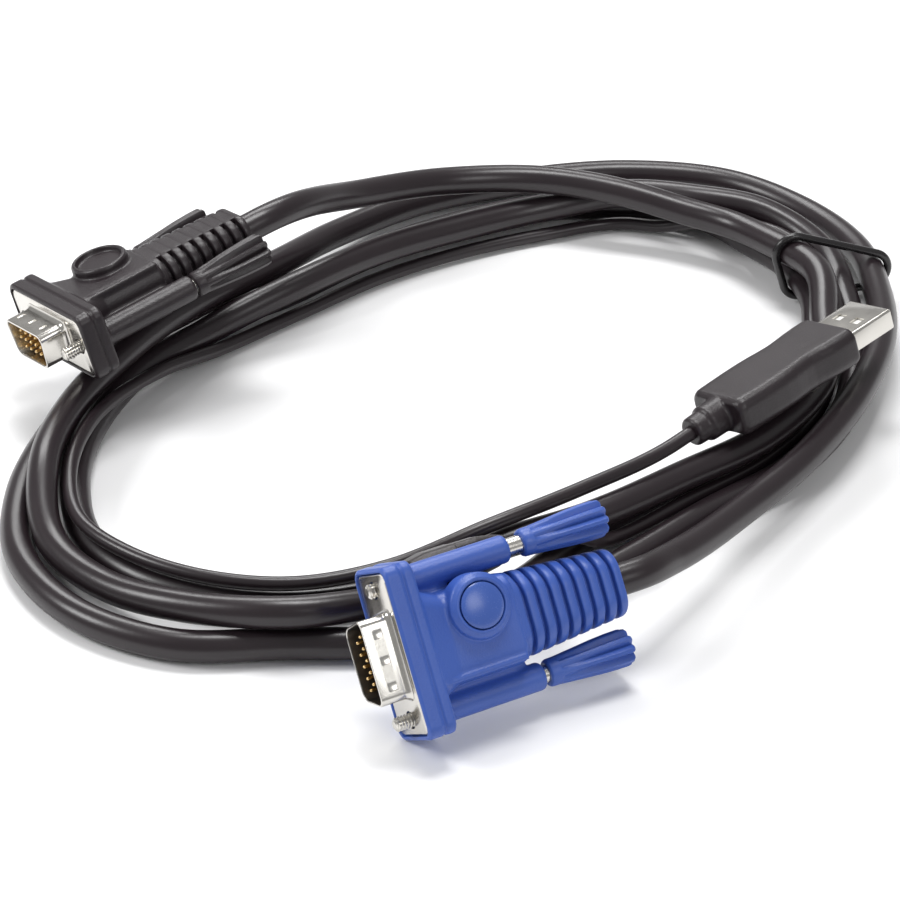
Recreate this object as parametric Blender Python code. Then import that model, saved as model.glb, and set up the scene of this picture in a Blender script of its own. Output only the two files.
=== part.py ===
"""A KVM cable, coiled and tied: one round cable between two 15-pin plugs with thumbscrews, and a thin cord that
leaves the blue plug's hood for a USB plug. Metres, +Z up, lying on the plane z = 0."""

import math

import bmesh
import bpy
import numpy as np
from mathutils import Matrix, Vector

MM = 0.001

# Clearances
SEAT = 0.3 * MM  # between pieces that touch
PIN_FIT = 0.15 * MM  # round a pin, and round a screw's shank in its knob
FACE = 0.5 * MM  # how far a cutter runs past a face

# Cords
CABLE_DIAMETER = 6.4 * MM
CORD_DIAMETER = 3.0 * MM
TIE_DIAMETER = 1.8 * MM

# Plug hood, along its x axis from the front of its flange to the cable
FLANGE_WIDTH = 33.2 * MM
FLANGE_HEIGHT = 15.0 * MM
FLANGE_DEPTH = 6.0 * MM
FLANGE_CORNER = 2.2 * MM
FLANGE_EDGE = 0.5 * MM
LINE_AT = 3.5 * MM  # the line moulded round the flange
LINE_WIDTH = 0.8 * MM
LINE_DEPTH = 0.4 * MM
BODY_WIDTH = 17.6 * MM
BODY_HEIGHT = 12.6 * MM
BODY_CORNER = 3.0 * MM
BODY_END = 25.0 * MM
SHOULDER = 4.0 * MM  # length and growth of the slope where the body meets the flange
RIDGE_WIDTH = 1.3 * MM
RIDGE_RISE = 0.6 * MM
RELIEF_END = 48.0 * MM
RELIEF_TIP_WIDTH = 13.4 * MM
RELIEF_TIP_HEIGHT = 10.5 * MM
RELIEF_CORNER = 4.2 * MM
FIN_COUNT = 8
FIN_GROOVE = 1.1 * MM
FIN_DEPTH = 0.9 * MM
FIN_CROWN = 4.6 * MM  # half of the smooth middle between the black plug's grooves
POST_RADIUS = 2.75 * MM
POST_END = 28.4 * MM
WEB_LENGTH = 7.0 * MM
WEB_HEIGHT = 3.0 * MM
BADGE_AT = (17.0 * MM, 4.4 * MM)
BADGE_RADIUS = 6.3 * MM
BADGE_RISE = 2.0 * MM
BADGE_ROOT = 3.2 * MM
LENS_RADIUS = 4.4 * MM
LENS_DEPTH = 0.9 * MM
LENS_RISE = 0.7 * MM
RING_BORE = 4.6 * MM  # the black plug's badge is an open ring
RING_DEPTH = 1.0 * MM

# 15-pin connector in the front of the hood
PLATE_WIDTH = 30.8 * MM
PLATE_HEIGHT = 12.5 * MM
PLATE_THICK = 0.8 * MM
PLATE_CORNER = 1.6 * MM
MOUTH_WIDTH = 16.9 * MM
MOUTH_HEIGHT = 8.36 * MM
MOUTH_DEPTH = 6.0 * MM
MOUTH_SLOPE = math.radians(10)
MOUTH_WALL = 0.5 * MM
MOUTH_CORNER = 1.9 * MM
DIMPLE_RADIUS = 1.1 * MM
DIMPLE_DEPTH = 0.22 * MM
DIMPLE_PITCH = 5.0 * MM
INSERT_FACE = 1.0 * MM  # how far the insulator stands in front of the plate
INSERT_DEPTH = 4.2 * MM  # and how far it reaches into the hood
PIN_RADIUS = 0.38 * MM
PIN_REACH = 5.2 * MM  # from the front of the flange to a pin's tip
PIN_ROOT = 2.4 * MM
PIN_PITCH = 2.29 * MM
ROW_PITCH = 1.98 * MM
ROW_SHIFT = (0.0, 0.5, 0.0)  # in pitches: the middle row is staggered

# Thumbscrews
SCREW_SPACING = 24.99 * MM
THREAD_RADIUS = 1.42 * MM
THREAD_LENGTH = 7.5 * MM
SHANK_RADIUS = 1.75 * MM
SCREW_REACH = 32.7 * MM  # from the tip to the front of the knob
KNOB_LENGTH = 18.0 * MM
KNOB_FRONT_RADIUS = 2.7 * MM
KNOB_BACK_RADIUS = 3.7 * MM
KNOB_FLUTES = 9
FLUTE_DEPTH = 0.35 * MM
KNOB_BORE = 12.0 * MM

# Outlet of the thin cord, at the back of the blue hood
OUTLET_FROM = 11.0 * MM
OUTLET_END = 20.7 * MM
OUTLET_WIDTH = 8.0 * MM
OUTLET_HEIGHT = 8.6 * MM
OUTLET_SIDE_LAP = 0.8 * MM  # how far it reaches in over the body's side, and up over its underside
OUTLET_UNDER_LAP = 2.4 * MM
OUTLET_AT = (
    BODY_WIDTH / 2 - OUTLET_SIDE_LAP + OUTLET_WIDTH / 2,
    OUTLET_UNDER_LAP - BODY_HEIGHT / 2 - OUTLET_HEIGHT / 2,
)
OUTLET_START = 0.7  # its first section, as a share of the full one
BOOT_END = 33.0 * MM
BOOT_DROP = 1.4 * MM  # how far its middle lies below the outlet's
BOOT_AT = OUTLET_AT[1] - BOOT_DROP
BOOT_WIDTH = 7.6 * MM
BOOT_HEIGHT = 5.6 * MM
BOOT_TIP = 4.6 * MM
BOOT_CORNER = 1.6 * MM

# USB plug, along its x axis back from the front of its shell
USB_WIDTH = 12.0 * MM
USB_HEIGHT = 4.5 * MM
USB_WALL = 0.35 * MM
USB_BARE = 12.0 * MM
USB_SEAT = 4.0 * MM
USB_WINDOW = 2.3 * MM
USB_WINDOW_AT = 6.6 * MM
USB_WINDOW_SPACING = 5.2 * MM
TONGUE_WIDTH = 10.6 * MM
TONGUE_HEIGHT = 1.8 * MM
TONGUE_SET = 0.8 * MM
CONTACT_LENGTH = 8.2 * MM
CONTACT_WIDTH = 1.0 * MM
CONTACT_THICK = 0.25 * MM
CONTACT_PITCH = 2.3 * MM
CONTACT_SINK = 0.15 * MM
GRIP_LENGTH = 34.0 * MM
GRIP_FRONT_WIDTH = 16.2 * MM
GRIP_WAIST_WIDTH = 15.4 * MM
GRIP_BACK_WIDTH = 16.0 * MM
GRIP_HEIGHT = 8.2 * MM
GRIP_CORNER = 2.0 * MM
NECK_RADIUS = 3.85 * MM
NECK_LENGTH = 4.5 * MM
COLLAR_RADIUS = 3.2 * MM
COLLAR_LENGTH = 3.5 * MM

# Places of the three plugs: position, heading, pitch up and roll, in degrees
BLUE_PLACE = ((-10.3 * MM, -68.8 * MM, 17.15 * MM), 29.5, 0.0, 55.9)
BLACK_PLACE = ((-83.1 * MM, 41.8 * MM, 20.2 * MM), 35.6, 10.1, -12.3)
USB_PLACE = ((89.5 * MM, 44.8 * MM, 22.8 * MM), 41.9, 7.1, -15.9)
# How far each thumbscrew is drawn back out of its post: upper, then lower
BLUE_PULL = (2.8 * MM, 0.7 * MM)
BLACK_PULL = (0.0, 0.0)

# The coil is laid round one oval line, in lanes beside and over each other. A station is a 24th of the way round.
OVAL_CENTRE = (5.6 * MM, 43.9 * MM)
OVAL_LONG = 98.0 * MM
OVAL_SHORT = 66.0 * MM
OVAL_TURN = math.radians(45.5)
STATIONS = 24
LEAD = 6.0 * MM  # straight length at each plug
CORD_BEND = math.radians(24)  # a cord has a further point where its route turns by more than this

# Station, distance out from the oval line and height of the cable's centre, from the black plug, in millimetres
CABLE_TOP_AND_RIGHT = (
    (5, -6.2, 20.5), (4, -3.5, 15.8), (3, -7.1, 14.2), (2, -13.4, 13.4), (1, -15, 11.4), (0, -14, 11),
    (-1, -12.8, 12), (-2, -7.4, 12.9), (-3, -6, 11.4), (-4, -1.9, 9.9), (-5, -3.1, 9.2), (-6, -7.6, 9.3),
    (-7, -7.9, 10.2), (-8, -9.6, 9.2), (-9, -9, 4.1),
)
CABLE_INNER_LEFT = (
    (-10, -6.8, 3.3), (-11, -5.6, 3.3), (-12, -3.2, 3.3), (-13, -1.4, 3.3), (-14, -1.3, 3.3),
    (-15, -0.8, 3.5), (-16, -2.7, 5.7), (-17, -6.4, 5.4), (-18, -12.3, 8.6), (-19, -11.4, 8),
    (-20, -9.9, 7), (-21, -7.1, 6.8), (-22, -6.2, 9.4),
)
CABLE_MIDDLE_RIGHT = (
    (-23, -7.9, 11), (-24, -3.9, 10.6), (-25, -0.2, 7.6), (-26, -0.6, 5.2), (-27, 1.1, 3.6),
    (-28, 3.8, 3.3), (-29, 3.1, 3.3), (-30, -0.6, 3.3), (-31, 1.2, 3.3), (-32, 5.6, 3.3), (-33, 6.8, 3.3),
)
CABLE_OUTER_LEFT = (
    (-34, 6.2, 3.3), (-35, 11.5, 3.3), (-36, 13.6, 3.3), (-37, 13.1, 3.3), (-38, 9.8, 3.3), (-39, 6.6, 3.3),
)
CABLE_LOWEST_TURN = (
    (-40, 4, 3.3), (-41, 0.6, 3.3), (-42, -6.4, 3.3), (-43, -5, 3.3), (-44, -3, 3.3), (-45, -1, 3.3),
    (-46, -1, 3.3), (-47, -2.6, 3.5), (-48, -7.4, 3.8), (-49, -8.6, 5.3), (-50, -7.7, 5.6),
    (-51, -8, 4.1), (-52, -7.1, 3.4), (-53, -8.1, 3.3), (-54, -12, 3.3), (-55, -10.7, 3.3),
    (-56, -1.8, 4), (-57, -0.5, 7.6),
)
CABLE_UPPER_LEFT = (
    (-58, 5.4, 10.1), (-59, 5, 8), (-60, 5.4, 5.7), (-61, 6.5, 5.6), (-62, 4.8, 9.9), (-63, 2.4, 10.3),
    (-64, -1.8, 12.4), (-65, -2.6, 11.2),
)
CABLE_OUTER_RIGHT = (
    (-66, -3, 9.3), (-67, 5, 5), (-68, 11, 3.3), (-69, 12.5, 3.3), (-70, 14.5, 3.3), (-71, 15.3, 3.4),
    (-72, 12.4, 3.8), (-73, 9.4, 5.2), (-74, 6.7, 6.6), (-75, 6.6, 8.8), (-76, 7, 9.8), (-77, 7.6, 9.4),
    (-78, 10.1, 10.4), (-79, 18, 14.8),
)
# The same for the thin cord, from the USB plug
CORD_BOTTOM_AND_LEFT = (
    (17, -11.3, 15), (16, -9.9, 14.4), (15, -9.2, 9.7), (14, -6.5, 8.5),
    (13, -4.8, 8.5), (12, -2.8, 8.5), (11, 0, 8.4), (10, -0.6, 8.5), (9, -2.8, 8.8), (8, -7.7, 7.3),
)
CORD_INNER_TOP = (
    (7, -10.7, 2.6), (6, -13.2, 1.8), (5, -12.8, 1.8), (4, -12.2, 1.8), (3, -10.4, 1.8), (2, -7, 2),
    (1.5, -8.6, 2.8), (1, -9.4, 5.4),
)
CORD_RIGHT_TO_OUTLET = (
    (0.5, -9.9, 7.3), (0, -9.3, 9.2), (-0.5, -7.4, 9.8), (-1, -5.6, 9.5), (-2, -4, 9.2), (-3, -3.2, 6.9),
    (-4, -1.7, 3.2), (-5, -2.5, 3.8), (-6, -5.4, 4.7), (-7, -3.4, 6.9), (-7.4, 1.6, 14.5),
)
TIE_STATION = -1.5
TIE_POINTS = 28

# Colours as linear red, green and blue, then roughness and metallic
BLUE_PLASTIC = ((0.045, 0.11, 0.42), 0.42, 0.0)
BLACK_PLASTIC = ((0.012, 0.011, 0.012), 0.45, 0.0)
CABLE_SKIN = ((0.030, 0.026, 0.029), 0.40, 0.0)
NICKEL = ((0.62, 0.60, 0.57), 0.28, 1.0)
BRASS = ((0.72, 0.48, 0.20), 0.30, 1.0)
DARK_INSERT = ((0.016, 0.015, 0.016), 0.50, 0.0)
AMBER_INSERT = ((0.30, 0.13, 0.05), 0.50, 0.0)
WHITE_INSERT = ((0.75, 0.74, 0.70), 0.50, 0.0)


def clear_scene():
    for obj in list(bpy.data.objects):
        bpy.data.objects.remove(obj, do_unlink=True)


def material(name, look):
    colour, roughness, metallic = look
    made = bpy.data.materials.new(name)
    made.use_nodes = True
    shader = made.node_tree.nodes["Principled BSDF"]
    shader.inputs["Base Color"].default_value = (*colour, 1.0)
    shader.inputs["Roughness"].default_value = roughness
    shader.inputs["Metallic"].default_value = metallic
    return made


def add_object(name, data, parent, look=None, location=(0, 0, 0)):
    obj = bpy.data.objects.new(name, data)
    bpy.context.scene.collection.objects.link(obj)
    obj.parent = parent
    obj.location = location
    if look is not None:
        data.materials.append(look)
    return obj


def add_mesh(name, mesh_data, parent, look=None, location=(0, 0, 0), smooth=35):
    mesh = bpy.data.meshes.new(name)
    bmesh.ops.recalc_face_normals(mesh_data, faces=mesh_data.faces)
    mesh_data.to_mesh(mesh)
    mesh_data.free()
    mesh.shade_smooth()
    mesh.set_sharp_from_angle(angle=math.radians(smooth))
    return add_object(name, mesh, parent, look, location)


def place(name, position, heading, pitch, roll):
    """An empty whose x axis points along the heading, tipped up by the pitch and rolled about itself."""
    empty = bpy.data.objects.new(name, None)
    bpy.context.scene.collection.objects.link(empty)
    turn = Matrix.Rotation(math.radians(heading), 4, "Z") @ Matrix.Rotation(-math.radians(pitch), 4, "Y")
    empty.matrix_world = Matrix.Translation(position) @ turn @ Matrix.Rotation(math.radians(roll), 4, "X")
    return empty


def rounded(corners, radius, steps=3):
    """The outline through these (y, z) corners, each one rounded by an arc of this radius."""
    outline = []
    for i, corner in enumerate(corners):
        here = Vector(corner)
        back = (Vector(corners[i - 1]) - here).normalized()
        ahead = (Vector(corners[(i + 1) % len(corners)]) - here).normalized()
        half = back.angle(ahead) / 2
        centre = here + (back + ahead).normalized() * (radius / math.sin(half))
        start = here + back * (radius / math.tan(half)) - centre
        swing = start.angle_signed(here + ahead * (radius / math.tan(half)) - centre)
        for step in range(steps + 1):
            turn = Matrix.Rotation(-swing * step / steps, 2)
            outline.append(centre + turn @ start)
    return outline


def box_outline(width, height, radius, steps=3, middle=(0.0, 0.0)):
    w, h = width / 2, height / 2
    y, z = middle
    return rounded([(y + w, z + h), (y - w, z + h), (y - w, z - h), (y + w, z - h)], radius, steps)


def mouth_outline(inset, steps=3):
    """The D of the connector's mouth, drawn in by the inset, its wide side up."""
    top = MOUTH_HEIGHT / 2 - inset
    wide = MOUTH_WIDTH / 2 - inset / math.cos(MOUTH_SLOPE) - inset * math.tan(MOUTH_SLOPE)
    narrow = wide - 2 * top * math.tan(MOUTH_SLOPE)
    return rounded([(wide, top), (-wide, top), (-narrow, -top), (narrow, -top)], MOUTH_CORNER - inset, steps)


def circle_outline(radius, sides, middle=(0.0, 0.0)):
    turn = 2 * math.pi / sides
    y, z = middle
    return [Vector((y + radius * math.cos(i * turn), z + radius * math.sin(i * turn))) for i in range(sides)]


def loft(sections):
    """A closed skin through the sections, each one an x and an outline of (y, z) points."""
    made = bmesh.new()
    rings = [[made.verts.new((x, p[0], p[1])) for p in outline] for x, outline in sections]
    for first, second in zip(rings, rings[1:]):
        for i in range(len(first)):
            j = (i + 1) % len(first)
            made.faces.new((first[i], first[j], second[j], second[i]))
    made.faces.new(rings[0])
    made.faces.new(rings[-1])
    return made


def turned(profile, sides):
    """A piece turned about the x axis, from (x, radius) points."""
    return loft([(x, circle_outline(radius, sides)) for x, radius in profile])


def combine(target, other, operation):
    step = target.modifiers.new(other.name, "BOOLEAN")
    step.operation = operation
    step.solver = "EXACT"
    step.object = other
    other.hide_render = True
    other.display_type = "WIRE"


def fin_outline(width, height, depth, crown):
    """A section of the strain relief. A groove leaves the crown, where there is one, at full height."""
    full = box_outline(width, height, RELIEF_CORNER)
    drawn = box_outline(width - 2 * depth, height - 2 * depth, RELIEF_CORNER - depth)
    if not depth or not crown:
        return drawn
    ring = []
    for whole, cut in zip(full, drawn):
        ring.append(Vector((cut[0], whole[1])) if abs(whole[0]) < crown else cut)
    return ring


def relief_sections(crown):
    """The tapered strain relief with its grooves, from inside the body to the cable."""
    start = BODY_END - FACE

    def section(x, depth):
        share = (x - start) / (RELIEF_END - start)
        width = BODY_WIDTH - FACE + share * (RELIEF_TIP_WIDTH - BODY_WIDTH + FACE)
        height = BODY_HEIGHT - FACE + share * (RELIEF_TIP_HEIGHT - BODY_HEIGHT + FACE)
        return x, fin_outline(width, height, depth, crown)

    pitch = (RELIEF_END - BODY_END) / (FIN_COUNT + 0.4)
    sections = [section(start, 0)]
    for i in range(FIN_COUNT):
        at = BODY_END + (i + 0.4) * pitch
        sections += [section(at, 0), section(at + 0.2 * FIN_GROOVE, FIN_DEPTH)]
        sections += [section(at + 0.8 * FIN_GROOVE, FIN_DEPTH), section(at + FIN_GROOVE, 0)]
    sections += [section(RELIEF_END - FLANGE_EDGE, 0), section(RELIEF_END, FLANGE_EDGE)]
    return sections


def flange_sections():
    line = LINE_WIDTH / 2
    edges = (
        (0, FLANGE_EDGE), (FLANGE_EDGE, 0),
        (LINE_AT - line, 0), (LINE_AT - line / 2, LINE_DEPTH), (LINE_AT + line / 2, LINE_DEPTH), (LINE_AT + line, 0),
        (FLANGE_DEPTH - FLANGE_EDGE, 0), (FLANGE_DEPTH, FLANGE_EDGE),
    )
    return [
        (x, box_outline(FLANGE_WIDTH - 2 * inset, FLANGE_HEIGHT - 2 * inset, FLANGE_CORNER - inset / 2))
        for x, inset in edges
    ]


def body_sections():
    shoulder = FLANGE_DEPTH + SHOULDER
    return [
        (FLANGE_DEPTH - FACE, box_outline(BODY_WIDTH + SHOULDER, BODY_HEIGHT + 2 * RIDGE_RISE, BODY_CORNER)),
        (shoulder, box_outline(BODY_WIDTH, BODY_HEIGHT, BODY_CORNER)),
        (BODY_END - FLANGE_EDGE, box_outline(BODY_WIDTH, BODY_HEIGHT, BODY_CORNER)),
        (BODY_END, box_outline(BODY_WIDTH - 2 * FLANGE_EDGE, BODY_HEIGHT - 2 * FLANGE_EDGE, BODY_CORNER)),
    ]


def badge(parent, name, radius, bottom, top, edge):
    """A disc on the hood's upper face, its axis along z."""
    made = bmesh.new()
    rings = []
    for z, r in ((bottom, radius), (top - edge, radius), (top, radius - edge)):
        rings.append([made.verts.new((BADGE_AT[0] + p[0], BADGE_AT[1] + p[1], z)) for p in circle_outline(r, 28)])
    for first, second in zip(rings, rings[1:]):
        for i in range(len(first)):
            j = (i + 1) % len(first)
            made.faces.new((first[i], first[j], second[j], second[i]))
    made.faces.new(rings[0])
    made.faces.new(rings[-1])
    return add_mesh(name, made, parent)


def make_hood(prefix, parent, look, crown, recess, outlet):
    hood = add_mesh(prefix + "_hood", loft(flange_sections()), parent, look)
    added = [add_mesh(prefix + "_body", loft(body_sections()), parent)]
    added.append(add_mesh(prefix + "_relief", loft(relief_sections(crown)), parent))
    ridge_middle = (-(BODY_WIDTH / 2 - RIDGE_WIDTH), BODY_HEIGHT / 2 + RIDGE_RISE - RIDGE_WIDTH)
    ridge = box_outline(RIDGE_WIDTH, 2 * RIDGE_WIDTH, RIDGE_WIDTH / 3, 2, ridge_middle)
    added.append(add_mesh(prefix + "_ridge", loft([(FLANGE_DEPTH - FACE, ridge), (BODY_END - FACE, ridge)]), parent))
    for side, end in ((1, "upper"), (-1, "lower")):
        across = side * SCREW_SPACING / 2
        post = turned([(FLANGE_DEPTH - FACE, POST_RADIUS), (POST_END, POST_RADIUS)], 20)
        added.append(add_mesh(f"{prefix}_{end}_post", post, parent, None, (0, across, 0)))
        web_width = SCREW_SPACING / 2 - BODY_WIDTH / 2 + 2 * FACE
        web_middle = (side * (SCREW_SPACING / 2 - web_width / 2), 0.0)
        web_end = FLANGE_DEPTH + WEB_LENGTH
        wide = box_outline(web_width, WEB_HEIGHT, FACE, 2, web_middle)
        added.append(add_mesh(f"{prefix}_{end}_web", loft([(FLANGE_DEPTH - FACE, wide), (web_end, wide)]), parent))
    top = BODY_HEIGHT / 2 + BADGE_RISE
    added.append(badge(parent, prefix + "_badge", BADGE_RADIUS, BADGE_ROOT, top, FLANGE_EDGE))
    if outlet:
        shape = box_outline(OUTLET_WIDTH, OUTLET_HEIGHT, BOOT_CORNER, 3, OUTLET_AT)
        small = [Vector(OUTLET_AT).lerp(p, OUTLET_START) for p in shape]
        sections = [(OUTLET_FROM, small), (OUTLET_FROM + SHOULDER, shape), (OUTLET_END, shape)]
        added.append(add_mesh(prefix + "_outlet", loft(sections), parent))
    for piece in added:
        combine(hood, piece, "UNION")
    seat_depth = PLATE_THICK + SEAT
    seat = box_outline(PLATE_WIDTH + 2 * SEAT, PLATE_HEIGHT + 2 * SEAT, PLATE_CORNER)
    cuts = [add_mesh(prefix + "_plate_seat", loft([(-FACE, seat), (seat_depth, seat)]), parent)]
    pocket = mouth_outline(-SEAT)
    pocket_end = INSERT_DEPTH + SEAT
    cuts.append(add_mesh(prefix + "_insert_pocket", loft([(FACE, pocket), (pocket_end, pocket)]), parent))
    for side, end in ((1, "upper"), (-1, "lower")):
        bore = turned([(FACE, SHANK_RADIUS + SEAT), (POST_END + FACE, SHANK_RADIUS + SEAT)], 16)
        cuts.append(add_mesh(f"{prefix}_{end}_bore", bore, parent, None, (0, side * SCREW_SPACING / 2, 0)))
    cuts.append(badge(parent, prefix + "_badge_seat", recess[0], top - recess[1], top + FACE, 0))
    for piece in cuts:
        combine(hood, piece, "DIFFERENCE")
    return hood


def make_connector_shell(prefix, parent, look):
    """The pressed plate with the D-shaped wall round the pins."""
    front = SEAT - SEAT / 3
    plate = box_outline(PLATE_WIDTH, PLATE_HEIGHT, PLATE_CORNER)
    shell = add_mesh(prefix + "_connector_shell", loft([(front, plate), (PLATE_THICK, plate)]), parent, look)
    outer, inner = mouth_outline(0, 4), mouth_outline(MOUTH_WALL, 4)
    wall = add_mesh(prefix + "_mouth", loft([(-MOUTH_DEPTH, outer), (PLATE_THICK - PIN_FIT, outer)]), parent)
    combine(shell, wall, "UNION")
    hole = add_mesh(prefix + "_mouth_hole", loft([(-MOUTH_DEPTH - FACE, inner), (PLATE_THICK + FACE, inner)]), parent)
    combine(shell, hole, "DIFFERENCE")
    for side, end in ((1, "upper"), (-1, "lower")):
        bore = turned([(-FACE, THREAD_RADIUS + SEAT), (PLATE_THICK + FACE, THREAD_RADIUS + SEAT)], 16)
        where = (0, side * SCREW_SPACING / 2, 0)
        combine(shell, add_mesh(f"{prefix}_{end}_plate_hole", bore, parent, None, where), "DIFFERENCE")
    dimples = bmesh.new()
    for i in (-1, 0, 1):
        sink = MOUTH_HEIGHT / 2 + DIMPLE_RADIUS - DIMPLE_DEPTH
        where = Matrix.Translation((-MOUTH_DEPTH / 2, i * DIMPLE_PITCH, sink))
        bmesh.ops.create_icosphere(dimples, subdivisions=2, radius=DIMPLE_RADIUS, matrix=where)
    combine(shell, add_mesh(prefix + "_dimples", dimples, parent), "DIFFERENCE")
    return shell


def pin_places():
    """(y, z) of the fifteen pins in three rows."""
    places = []
    for row, shift in enumerate(ROW_SHIFT):
        for column in range(5):
            places.append(((2 - column + shift - 0.25) * PIN_PITCH, (1 - row) * ROW_PITCH))
    return places


def make_insert(prefix, parent, look):
    outline = mouth_outline(MOUTH_WALL + PIN_FIT)
    insert = add_mesh(prefix + "_insulator", loft([(-INSERT_FACE, outline), (INSERT_DEPTH, outline)]), parent, look)
    bores = bmesh.new()
    for y, z in pin_places():
        drill = turned([(-INSERT_FACE - FACE, PIN_RADIUS + PIN_FIT), (PIN_ROOT + PIN_FIT, PIN_RADIUS + PIN_FIT)], 8)
        bmesh.ops.recalc_face_normals(drill, faces=drill.faces)
        bmesh.ops.translate(drill, verts=drill.verts, vec=(0, y, z))
        holder = bpy.data.meshes.new("drill")
        drill.to_mesh(holder)
        drill.free()
        bores.from_mesh(holder)
        bpy.data.meshes.remove(holder)
    combine(insert, add_mesh(prefix + "_pin_bores", bores, parent), "DIFFERENCE")


def make_pins(prefix, parent, look):
    tip = -PIN_REACH
    profile = [
        (tip, 0.35 * PIN_RADIUS), (tip + 0.3 * PIN_RADIUS, 0.8 * PIN_RADIUS), (tip + PIN_RADIUS, PIN_RADIUS),
        (PIN_ROOT, PIN_RADIUS),
    ]
    for number, (y, z) in enumerate(pin_places(), start=1):
        add_mesh(f"{prefix}_pin_{number:02d}", turned(profile, 8), parent, look, (0, y, z), 60)


def knob_outline(radius, depth):
    """A round section with shallow flutes: two points on each crest and two in each flute."""
    outline = []
    step = 2 * math.pi / (4 * KNOB_FLUTES)
    for i in range(4 * KNOB_FLUTES):
        reach = radius - (depth if i % 4 in (2, 3) else 0)
        outline.append(Vector((reach * math.cos(i * step), reach * math.sin(i * step))))
    return outline


def make_thumbscrew(name, parent, across, pull, knob_look, screw_look):
    """A screw and its knob, on the axis of the post and drawn back by the pull."""
    tip = pull + POST_END + SEAT - SCREW_REACH
    knob_front = tip + SCREW_REACH
    where = (0, across, 0)
    chamfer = THREAD_RADIUS / 3
    screw_profile = [
        (tip, THREAD_RADIUS - chamfer), (tip + chamfer, THREAD_RADIUS), (tip + THREAD_LENGTH, THREAD_RADIUS),
        (tip + THREAD_LENGTH + chamfer, SHANK_RADIUS), (knob_front + KNOB_BORE - SEAT, SHANK_RADIUS),
    ]
    add_mesh(name + "_screw", turned(screw_profile, 14), parent, screw_look, where)
    grow = KNOB_BACK_RADIUS - KNOB_FRONT_RADIUS
    sections = []
    for share, depth in ((0, 0), (0.06, 0), (0.12, 1), (0.55, 1), (0.9, 1), (0.96, 0), (1, 0)):
        radius = KNOB_FRONT_RADIUS + grow * min(1.0, 1.15 * share) - (FLANGE_EDGE if share in (0, 1) else 0)
        sections.append((knob_front + share * KNOB_LENGTH, knob_outline(radius, depth * FLUTE_DEPTH)))
    knob = add_mesh(name + "_knob", loft(sections), parent, knob_look, where, 25)
    bore_radius = SHANK_RADIUS + PIN_FIT
    bore = turned([(knob_front - FACE, bore_radius), (knob_front + KNOB_BORE, bore_radius)], 14)
    combine(knob, add_mesh(name + "_knob_bore", bore, parent, None, where), "DIFFERENCE")


def make_plug(prefix, where, pulls, hood_look, insert_look, crown, recess, outlet, looks):
    parent = place(prefix + "_plug", *where)
    make_hood(prefix, parent, hood_look, crown, recess, outlet)
    make_connector_shell(prefix, parent, looks["nickel"])
    make_insert(prefix, parent, insert_look)
    make_pins(prefix, parent, looks["brass"])
    for end, side, pull in (("upper", 1, pulls[0]), ("lower", -1, pulls[1])):
        across = side * SCREW_SPACING / 2
        make_thumbscrew(f"{prefix}_{end}", parent, across, pull, hood_look, looks["nickel"])
    return parent


def make_lens(parent, look):
    """The domed window in the blue plug's badge."""
    made = bmesh.new()
    floor = BODY_HEIGHT / 2 + BADGE_RISE - LENS_DEPTH + SEAT
    rim = BODY_HEIGHT / 2 + BADGE_RISE
    rings = []
    for z, share in ((floor, 1.0), (rim, 1.0), (rim + 0.7 * LENS_RISE, 0.62), (rim + LENS_RISE, 0.22)):
        ring = circle_outline(share * LENS_RADIUS, 24)
        rings.append([made.verts.new((BADGE_AT[0] + p[0], BADGE_AT[1] + p[1], z)) for p in ring])
    for first, second in zip(rings, rings[1:]):
        for i in range(len(first)):
            j = (i + 1) % len(first)
            made.faces.new((first[i], first[j], second[j], second[i]))
    made.faces.new(rings[0])
    made.faces.new(rings[-1])
    add_mesh("blue_badge_lens", made, parent, look)


def make_boot(parent, look):
    """The soft boot round the thin cord, on the outlet of the blue hood."""
    at = (OUTLET_AT[0], BOOT_AT)
    start = OUTLET_END + SEAT
    wide = box_outline(BOOT_WIDTH, BOOT_HEIGHT, BOOT_CORNER, 3, at)
    tip = box_outline(BOOT_TIP, BOOT_TIP, BOOT_CORNER, 3, at)
    half = start + 0.45 * (BOOT_END - start)
    add_mesh("usb_cord_boot", loft([(start, wide), (half, wide), (BOOT_END, tip)]), parent, look)


def box_mesh(x_range, y_range, z_range):
    made = bmesh.new()
    corners = bmesh.ops.create_cube(made, size=1.0)["verts"]
    size = Vector([r[1] - r[0] for r in (x_range, y_range, z_range)])
    middle = Vector([(r[0] + r[1]) / 2 for r in (x_range, y_range, z_range)])
    bmesh.ops.scale(made, verts=corners, vec=size)
    bmesh.ops.translate(made, verts=corners, vec=middle)
    return made


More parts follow.
